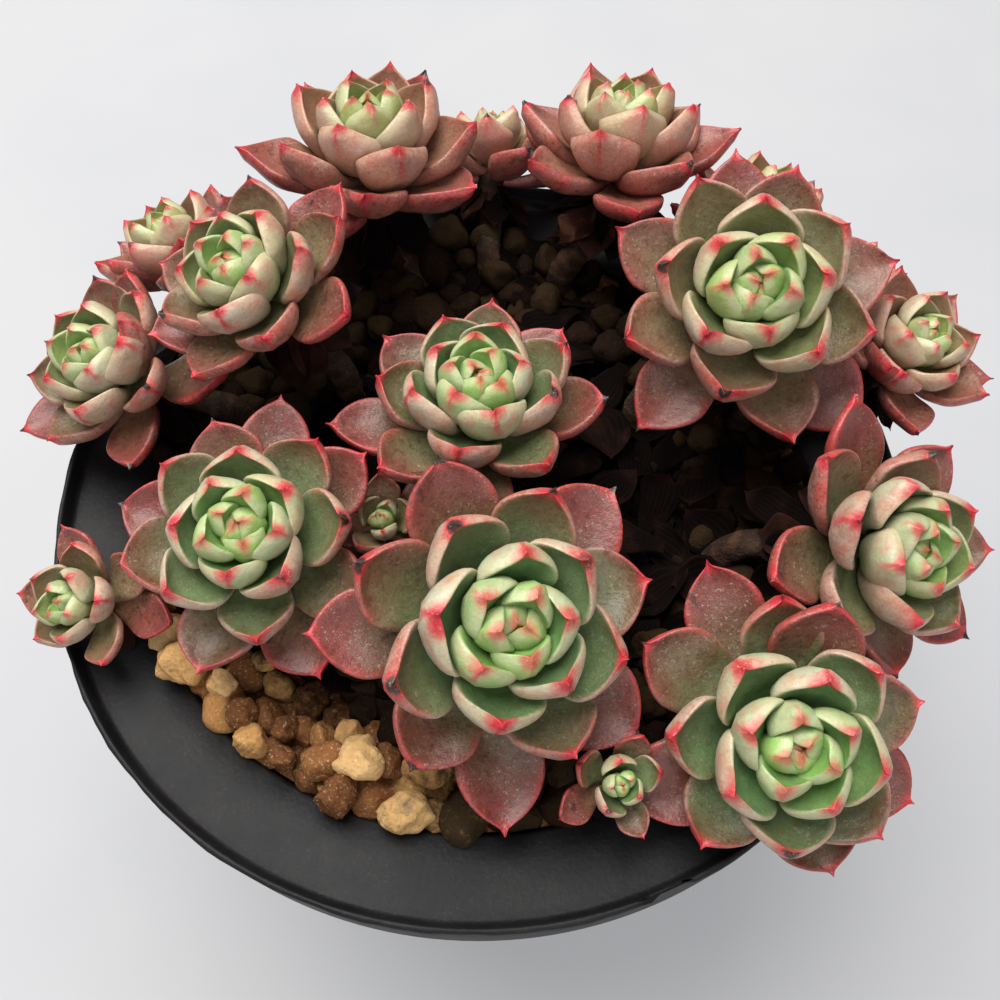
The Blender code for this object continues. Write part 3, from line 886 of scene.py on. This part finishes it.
def litter_parts():
    """Fallen dried leaves on the soil and the gravel between the stems."""
    draw = random.Random("litter")
    head = HEADS[0]
    parts = []
    for number in range(LITTER_COUNT):
        radius = LITTER_REACH * math.sqrt((number + 0.5) / LITTER_COUNT)
        angle = math.radians(GOLDEN_ANGLE * number)
        leaf = Leaf(1.0, 0.0, math.radians(draw.uniform(78.0, 100.0)), draw.uniform(12.0, 20.0) * MM)
        points, marks = leaf_grid(head, leaf, draw, 0.2, draw.uniform(0.45, 0.75), DRIED_GRID)
        points = crumple(points - points.mean(axis=0), draw, 7.0 * MM, 0.5 * MM)
        turn = Matrix.Rotation(draw.uniform(0.0, math.tau), 4, "Z")
        turn @= Matrix.Rotation(draw.uniform(-0.6, 0.6), 4, "X")
        place = Vector((radius * math.cos(angle), radius * math.sin(angle), 0.0))
        place.y += LITTER_SHIFT
        place.z = bed_level(place.xy.length) + draw.uniform(2.5, 7.0) * MM
        marks |= {"age": 1.0, "tone": 0.4 * draw.random()}
        moved = transformed(points, Matrix.Translation(place) @ turn)
        parts.append((moved, outgrowing_faces(*DRIED_GRID), marks, LITTER))
    return parts


# %% [markdown]
# ## Bark and dried leaf
#
# Bark is pale grey-brown on the ridges of the old leaf scars and darker between them. A dried
# leaf is papery: dark red-brown with paler veins along it and a matt surface.

# %% Bark and dried leaf materials
def bark_material():
    material, g = new_material("woody_stem")
    rings = g.mark("across")
    patches = g.noise(g.place, 260.0, 5.0, 0.6)
    skin = g.ramp(g.plus(g.times(rings, 0.18), g.times(patches, 0.8)), [
        (0.2, 24, 16, 12),
        (1.0, 112, 80, 58),
        (0.45, 44, 29, 21),
        (0.65, 76, 52, 38),
    ])
    powder = g.group(DUST, Place=g.place, Veil=0.05, Specks=0.2)["Mask"]
    skin = g.mix(powder, skin, paint(160, 144, 128))
    g.surface(skin, 0.85, 0.12)
    bump(g, g.plus(patches, g.noise(g.place, 1500.0, 3.0)), 0.0004)
    return material


def dried_material():
    material, g = new_material("dried_leaf")
    patches = g.noise(g.place, 180.0, 4.0)
    veins = g.math("SINE", g.times(g.mark("across"), 26.0))
    shade = g.plus(g.times(patches, 0.7), g.times(g.mark("tone"), 0.45))
    skin = g.ramp(shade, [
        (0.1, 6, 4, 4),
        (1.0, 112, 74, 54),
        (0.50, 12, 7, 6),
        (0.80, 48, 27, 21),
    ])
    skin = g.mix(g.band(veins, 0.4, 1.0, 0.0, 0.015), skin, paint(126, 94, 74))
    skin = g.mix(g.band(g.mark("along"), 0.8, 1.0, 0.0, 0.6), skin, paint(40, 22, 20))
    g.surface(skin, 0.9, 0.04)
    bump(g, g.plus(patches, g.times(veins, 0.008)), 0.0006)
    return material


ROSETTE_MATERIALS = (LEAF_SKIN, bark_material(), dried_material())

# %% [markdown]
# ## Growing the rosettes
#
# Living leaves, the stem and the dried skirt of one rosette hold together on the real plant, so
# they are one piece in place of that rosette's solid.

# %% Grow the rosettes
def dress(name, parts, materials, node):
    """One mesh object in place of a solid node."""
    piece = mesh_piece(name, parts, materials)
    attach(piece, "root")
    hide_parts(node)
    return piece


rosettes = []
for head in HEADS:
    parts = [*rosette_parts(head), stem_part(head), *dried_parts(head)]
    rosettes.append(dress(f"leaves_{head.name}", parts, ROSETTE_MATERIALS, head.name))
print("rosette faces", sum(len(piece.data.polygons) for piece in rosettes))

# %% [markdown]
# ## Loose gravel
#
# The top dressing is baked clay and pumice: rough grains of 6 to 9 mm, rounded by rubbing. A
# grain starts as a ball whose radius is cut back by a dozen random planes, softened at the
# corners. The grains are then laid in the ring and pushed apart until they rest against each
# other, because real grains touch and hold each other up.

# %% Grains cut from balls and packed in the ring
GRAIN_COUNT = 330
GRAIN_RELAX = 90
GRAIN_SMALL = 2.6 * MM
GRAIN_LARGE = 4.9 * MM


def ball(detail):
    """Unit directions and triangles of an icosphere."""
    bm = bmesh.new()
    bmesh.ops.create_icosphere(bm, subdivisions=detail, radius=1.0)
    points = np.array([vert.co for vert in bm.verts])
    faces = [[vert.index for vert in face.verts] for face in bm.faces]
    bm.free()
    return points, faces


def grain_shape(directions, draw):
    """Radius of a rough grain in each direction: random planes with softened corners."""
    normals = np.array([draw.gauss(0.0, 1.0) for _ in range(42)]).reshape(14, 3)
    normals /= np.linalg.norm(normals, axis=1)[:, None]
    reach = np.array([draw.uniform(0.74, 1.0) for _ in range(14)])
    facing = np.clip(directions @ normals.T, 0.05, None)
    radius = np.sum((reach / facing) ** -16.0, axis=1) ** (-1.0 / 16.0)
    stretch = np.array([draw.uniform(0.8, 1.2) for _ in range(3)])
    shape = directions * np.minimum(radius, 1.25)[:, None] * stretch
    return crumple(crumple(shape, draw, 0.8, 0.05), draw, 0.32, 0.028)


def pack_grains():
    """Places and radii of grains that rest in the ring without sinking into each other."""
    draw = np.random.default_rng(11)
    radius = draw.uniform(GRAIN_SMALL, GRAIN_LARGE, GRAIN_COUNT)
    ring = np.sqrt(draw.uniform((GRAVEL_INNER - 3 * MM) ** 2, BED_RADIUS**2, GRAIN_COUNT))
    angle = draw.uniform(0.0, math.tau, GRAIN_COUNT)
    height = draw.uniform(-0.5 * MM, 5.5 * MM, GRAIN_COUNT)
    place = np.stack((ring * np.cos(angle), ring * np.sin(angle), height), -1)
    for _ in range(GRAIN_RELAX):
        apart = place[:, None] - place[None, :]
        distance = np.linalg.norm(apart, axis=2) + np.eye(GRAIN_COUNT)
        wanted = 0.92 * (radius[:, None] + radius[None, :])
        push = np.clip(wanted - distance, 0.0, None) * (1.0 - np.eye(GRAIN_COUNT))
        place += 0.35 * np.sum(apart / distance[..., None] * push[..., None], axis=1)
        place[:, 2] -= 0.12 * MM
        place[:, 2] = np.maximum(place[:, 2], 0.15 * radius)
        out = np.hypot(place[:, 0], place[:, 1])
        limit = np.clip(out, GRAVEL_INNER - 2 * MM, BED_RADIUS - 0.9 * radius + 0.3 * place[:, 2])
        place[:, :2] *= (limit / out)[:, None]
    place[:, 2] += BED_EDGE_LEVEL
    return place, radius


def gravel_parts():
    draw = random.Random("grains")
    fine, coarse = ball(4), ball(3)
    parts = []
    for place, radius in zip(*pack_grains()):
        seen = place[1] < 0.0 and place[0] < 40.0 * MM
        directions, faces = fine if seen and place[2] > BED_EDGE_LEVEL + 1.0 * MM else coarse
        points = grain_shape(directions, draw) * radius + place
        # Painted shade: grains in the middle, at the back and on the right get a darkening share, kept
        # in the age mark.
        inner_painted_shade = smooth_step(64.0, 50.0, math.hypot(*place[:2]) / MM)
        back = smooth_step(-18.0, 12.0, place[1] / MM)
        right = 0.9 * smooth_step(-22.0, 6.0, place[0] / MM)
        marks = {"tone": draw.random(), "age": max(inner_painted_shade, back, right)}
        parts.append((points, faces, marks, 0))
    return parts


# %% [markdown]
# ## Stone and soil
#
# The grains come in three kinds: ochre, cream and burnt orange. Each grain draws its own kind
# and is mottled with the others, pitted, and lighter where it was rubbed. Grains in the middle,
# at the back and on the right are darkened almost to black: painted shade of the crowded
# rosettes over them. The soil between and under them is dark, damp and crumbly.

# %% Stone and soil materials
# Near-black brown for the painted shade on grains in the middle, at the back and on the right.
PAINTED_SHADE_BROWN = paint(17, 11, 9)


def stone_material():
    material, g = new_material("ochre_gravel")
    patches = g.noise(g.place, 420.0, 5.0, 0.62)
    kind = g.plus(g.times(g.mark("tone"), 0.8), g.times(patches, 0.3))
    stone = g.ramp(kind, [
        (0.12, 98, 62, 38),
        (1.0, 222, 186, 134),
        (0.35, 140, 94, 56),
        (0.60, 182, 134, 80),
        (0.85, 204, 162, 106),
    ])
    speckle = g.noise(g.place, 1500.0, 4.0, 0.7)
    stone = g.mix(g.band(speckle, 0.55, 0.7, 0.0, 0.5), stone, paint(240, 214, 170))
    stone = g.mix(g.band(speckle, 0.42, 0.30, 0.0, 0.6), stone, paint(92, 56, 34))
    # Painted shade: grains marked in the middle, back and right are darkened nearly to black.
    stone = g.mix(g.band(g.plus(g.mark("age"), patches), 0.55, 1.2, 0.0, 0.95), stone, PAINTED_SHADE_BROWN)
    g.surface(stone, 0.9, 0.08)
    bump(g, g.plus(patches, g.times(speckle, 0.5)), 0.0007)
    return material


def soil_material():
    material, g = new_material("dark_soil")
    patches = g.noise(g.place, 300.0, 5.0, 0.65)
    earth = g.ramp(g.plus(patches, g.times(g.mark("tone"), 0.3)), [
        (0.3, 8, 6, 5),
        (1.0, 40, 29, 22),
        (0.6, 15, 11, 9),
    ])
    g.surface(earth, 0.95, 0.1)
    bump(g, patches, 0.0012)
    return material


STONE = stone_material()
SOIL = soil_material()

# %% [markdown]
# ## Bed under the grains
#
# The solid soil is a tapered plug with a low crown, and the gravel rests on its ledge. Both are
# turned again with many more steps, and the soil's top is roughened. Crumbs are strewn on the
# crown, since loose soil never shows a smooth face.

# %% Turn the bed and lay gravel and soil
BED_TURNS = 120
CRUMB_COUNT = 420


def turned_part(profile, steps, marks, slot=0):
    """A closed solid of revolution; the profile's first and last points lie on the axis."""
    turn = np.arange(steps) * math.tau / steps
    rings = [np.stack((r * np.cos(turn), r * np.sin(turn), np.full(steps, z)), -1) for r, z in profile]
    faces = grid_faces(len(profile), steps)
    return np.concatenate(rings), faces, marks, slot


def wall_radius(height):
    """Inner radius of the pot's tapered wall."""
    low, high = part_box("soil")
    share = (height - low.z) / (BED_EDGE_LEVEL - low.z)
    return 50.0 * MM + (BED_RADIUS - 50.0 * MM) * share


def gravel_bed_part():
    """The filled ring under the grains."""
    level = BED_EDGE_LEVEL - 0.5 * MM
    bottom = BED_EDGE_LEVEL - 9.0 * MM
    inner = GRAVEL_INNER + 0.3 * MM
    outer = wall_radius(bottom) - 0.5 * MM
    profile = [(inner, bottom), (inner, level)]
    profile += [(radius, level) for radius in np.linspace(inner, BED_RADIUS - 0.6 * MM, 14)[1:]]
    profile += [(outer, bottom), (inner, bottom)]
    points, faces, marks, slot = turned_part(profile, BED_TURNS, {"tone": 0.15})
    return points, faces[:-2], marks, slot


def soil_parts():
    """The plug of soil with its rough crown, and crumbs on it."""
    draw = random.Random("crumbs")
    ledge = BED_EDGE_LEVEL - 9.4 * MM
    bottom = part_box("soil")[0].z
    side = GRAVEL_INNER - 0.4 * MM
    profile = [(radius, bed_level(radius)) for radius in np.linspace(0.05 * MM, side, 26)]
    profile += [(side, ledge), (wall_radius(ledge) - 0.4 * MM, ledge)]
    profile += [(wall_radius(bottom) - 0.4 * MM, bottom), (0.05 * MM, bottom)]
    points, faces, marks, slot = turned_part(profile, BED_TURNS, {"tone": 0.4})
    crown = points[:, 2] > BED_EDGE_LEVEL - 1.0 * MM
    rough = crumple(crumple(points, draw, 7.0 * MM, 0.5 * MM), draw, 3.0 * MM, 0.35 * MM)
    points[crown, 2] = rough[crown, 2]
    parts = [(points, faces, marks, slot)]
    directions, triangles = ball(2)
    for number in range(CRUMB_COUNT):
        radius = GRAVEL_INNER * math.sqrt((number + 0.5) / CRUMB_COUNT)
        angle = math.radians(GOLDEN_ANGLE * number)
        size = draw.uniform(0.7, 2.4) * MM
        place = (radius * math.cos(angle), radius * math.sin(angle), bed_level(radius) + 0.3 * size)
        crumb = grain_shape(directions, draw) * size + place
        parts.append((crumb, triangles, {"tone": draw.random()}, 0))
    return parts


gravel = dress("loose_gravel", [gravel_bed_part(), *gravel_parts()], [STONE], "gravel")
soil_and_litter = [*soil_parts(), *litter_parts()]
soil = dress("crumbly_soil", soil_and_litter, [SOIL, ROSETTE_MATERIALS[DRIED]], "soil")
print("gravel and soil faces", len(gravel.data.polygons), len(soil.data.polygons))

# %% [markdown]
# ## The pot
#
# A thin moulded pot in charcoal plastic: a tapered wall, a wide collar that slopes in towards
# the gravel, a short skirt and a raised lip. It is turned from the same half section as the
# solid, with finer steps and rounder corners. The lip was trimmed roughly after moulding, so
# its edge wanders a little and one short piece of it is chipped off at the front.

# %% Turn the pot, cut its drain holes and roughen its lip
POT_STEPS = 200
POT_WALL = 2.0 * MM
LIP_INNER = RIM_RADIUS - 1.5 * MM
COLLAR_OUTER = RIM_HEIGHT - 3.5 * MM
COLLAR_INNER = COLLAR_OUTER - 1.8 * MM
BASE_RADIUS = 52.0 * MM
DRAIN_RING = 30.0 * MM
DRAIN_RADIUS = 4.0 * MM
CHIP_AZIMUTH = math.radians(-68.0)


def pot_section():
    """Half section from the inside of the base over the lip to the underside."""
    base, bed = BASE_RADIUS / MM, BED_RADIUS / MM
    lip, outer, rim = LIP_INNER / MM, COLLAR_OUTER / MM, RIM_HEIGHT / MM
    out, inner, wall = RIM_RADIUS / MM, COLLAR_INNER / MM, POT_WALL / MM
    section = [
        (0.05, wall),
        (base - wall - 1.0, wall),
        (base - wall, wall + 1.0),
        (bed, BED_EDGE_LEVEL / MM),
        (bed + 0.2, inner - 0.4),
        (bed + 0.8, inner),
        (bed + 6.0, inner + 0.7),
        (lip - 4.0, outer - 0.4),
        (lip - 1.6, outer - 0.3),
        (lip - 1.0, outer),
        (lip - 0.6, outer + 0.8),
        (lip, rim - 0.5),
        (lip + 0.2, rim - 0.1),
        (lip + 0.5, rim),
        (out - 0.4, rim - 0.05),
        (out - 0.1, rim - 0.3),
        (out, rim - 0.8),
        (out - 0.1, rim - 4.0),
        (out - 0.8, rim - 14.0),
        (out - 2.3, rim - 14.0),
        (lip - 0.6, outer - wall),
        (bed + wall + 2.0, inner - wall),
        (bed + wall, inner - wall - 1.5),
        (base + 0.1, 2.5),
        (base - 0.3, 1.0),
        (base - 1.5, 0.0),
        (0.05, 0.0),
    ]
    return [(radius * MM, height * MM) for radius, height in section]


def apply_modifiers(item):
    graph = bpy.context.evaluated_depsgraph_get()
    mesh = bpy.data.meshes.new_from_object(item.evaluated_get(graph))
    item.modifiers.clear()
    item.data = mesh


def cut_drains(pot):
    """Round drain holes in the base."""
    cutters = bpy.data.collections.new("drains")
    bpy.context.scene.collection.children.link(cutters)
    for number in range(6):
        angle = math.tau * number / 6
        bm = bmesh.new()
        bmesh.ops.create_cone(
            bm, cap_ends=True, segments=40, radius1=DRAIN_RADIUS, radius2=DRAIN_RADIUS, depth=12 * MM
        )
        mesh = bpy.data.meshes.new("drain")
        bm.to_mesh(mesh)
        bm.free()
        drain = bpy.data.objects.new("drain", mesh)
        drain.location = (DRAIN_RING * math.cos(angle), DRAIN_RING * math.sin(angle), 0.0)
        cutters.objects.link(drain)
    cut = pot.modifiers.new("drains", "BOOLEAN")
    cut.operation = "DIFFERENCE"
    cut.operand_type = "COLLECTION"
    cut.collection = cutters
    apply_modifiers(pot)
    for item in list(cutters.objects):
        bpy.data.objects.remove(item, do_unlink=True)
    bpy.data.collections.remove(cutters)


def trim_lip(pot):
    """Let the lip's outer edge wander and take one short chip out of it."""
    for vertex in pot.data.vertices:
        out = math.hypot(vertex.co.x, vertex.co.y)
        if out < LIP_INNER - 0.5 * MM or vertex.co.z < RIM_HEIGHT - 5.0 * MM:
            continue
        azimuth = math.atan2(vertex.co.y, vertex.co.x)
        wander = 0.10 * math.sin(17.0 * azimuth) + 0.08 * math.sin(41.0 * azimuth + 1.0)
        wander += 0.05 * math.sin(97.0 * azimuth)
        vertex.co.z += (wander - 0.2) * 0.7 * MM
        if out > RIM_RADIUS - 0.6 * MM:
            off = abs(azimuth - CHIP_AZIMUTH)
            chip = 1.1 * MM if off < math.radians(2.2) else 0.0
            share = (out + (wander - 0.3) * MM - chip) / out
            vertex.co.x *= share
            vertex.co.y *= share


def plastic_material():
    material, g = new_material("pot_plastic")
    grain = g.noise(g.place, 900.0, 4.0, 0.6)
    haze = g.noise(g.place, 60.0, 4.0, 0.6)
    shell = g.mix(g.band(haze, 0.35, 0.7), paint(12, 12, 14), paint(20, 20, 22))
    powder = g.group(DUST, Place=g.place, Veil=0.03, Specks=0.16)["Mask"]
    shell = g.mix(powder, shell, paint(92, 90, 88))
    g.surface(shell, g.plus(0.46, g.times(haze, 0.22)), 0.25)
    bump(g, g.plus(grain, haze), 0.00012)
    return material


pot = mesh_piece("moulded_pot", [turned_part(pot_section(), POT_STEPS, {})], [plastic_material()])
cut_drains(pot)
trim_lip(pot)
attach(pot, "root")
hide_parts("pot")
print("pot faces", len(pot.data.polygons))

# %% [markdown]
# ## Floor and light
#
# The plant stands on plain pale ground in open shade. One broad lamp gives the soft direction
# that the leaves show, and a bright even sky fills the rest. Nothing in the frame needs a hard
# shadow.

# %% Floor and lights
FLOOR_LIFT = 0.30
FLOOR_LEVEL = -0.2 * MM
FLOOR_FLAT = 1.8
SWEEP_RADIUS = 1.4


def floor_material():
    """Pale worn ground with faint clouds, lifted a little so that shadows on it stay light."""
    material, g = new_material("pale_ground")
    clouds = g.noise(g.place, 3.0, 4.0, 0.6)
    ground = g.mix(g.band(clouds, 0.35, 0.65), paint(148, 149, 152), paint(156, 156, 157))
    g.surface(ground, 0.85, 0.2)
    g.shader.inputs["Emission Color"].default_value = paint(226, 228, 232)
    g.shader.inputs["Emission Strength"].default_value = FLOOR_LIFT
    material.cycles.emission_sampling = "NONE"
    return material


def make_floor():
    """Flat ground that sweeps up far behind the plant, so no horizon shows from any side."""
    sweep = np.linspace(0.0, 0.5 * math.pi, 13)
    profile = [(0.01, FLOOR_LEVEL)]
    profile += [
        (FLOOR_FLAT + SWEEP_RADIUS * math.sin(turn), FLOOR_LEVEL + SWEEP_RADIUS * (1.0 - math.cos(turn)))
        for turn in sweep
    ]
    points, faces, marks, slot = turned_part(profile, 96, {})
    floor = mesh_piece("floor", [(points, faces[:-1], marks, slot)], [floor_material()])


def area_light(name, place, aim, size, power, colour):
    lamp = bpy.data.lights.new(name, "AREA")
    lamp.shape = "DISK"
    lamp.size = size
    lamp.energy = power
    lamp.color = colour
    item = bpy.data.objects.new(name, lamp)
    item.location = place
    item.rotation_euler = (Vector(aim) - Vector(place)).to_track_quat("-Z", "Y").to_euler()
    bpy.context.scene.collection.objects.link(item)


def make_sky(strength, colour):
    world = bpy.data.worlds.new("open_shade")
    world.use_nodes = True
    sky = world.node_tree.nodes["Background"]
    sky.inputs["Color"].default_value = colour
    sky.inputs["Strength"].default_value = strength
    bpy.context.scene.world = world


make_floor()
make_sky(0.26, (0.96, 0.97, 1.0, 1.0))
PLANT_MIDDLE = (0.0, 0.0, RIM_HEIGHT)
area_light("key", (-0.22, 0.36, 1.1), PLANT_MIDDLE, 1.1, 24.0, (1.0, 0.98, 0.95))
area_light("fill", (0.25, -0.95, 0.75), PLANT_MIDDLE, 1.3, 6.0, (1.0, 0.98, 0.97))
bpy.context.scene.view_settings.view_transform = "Standard"
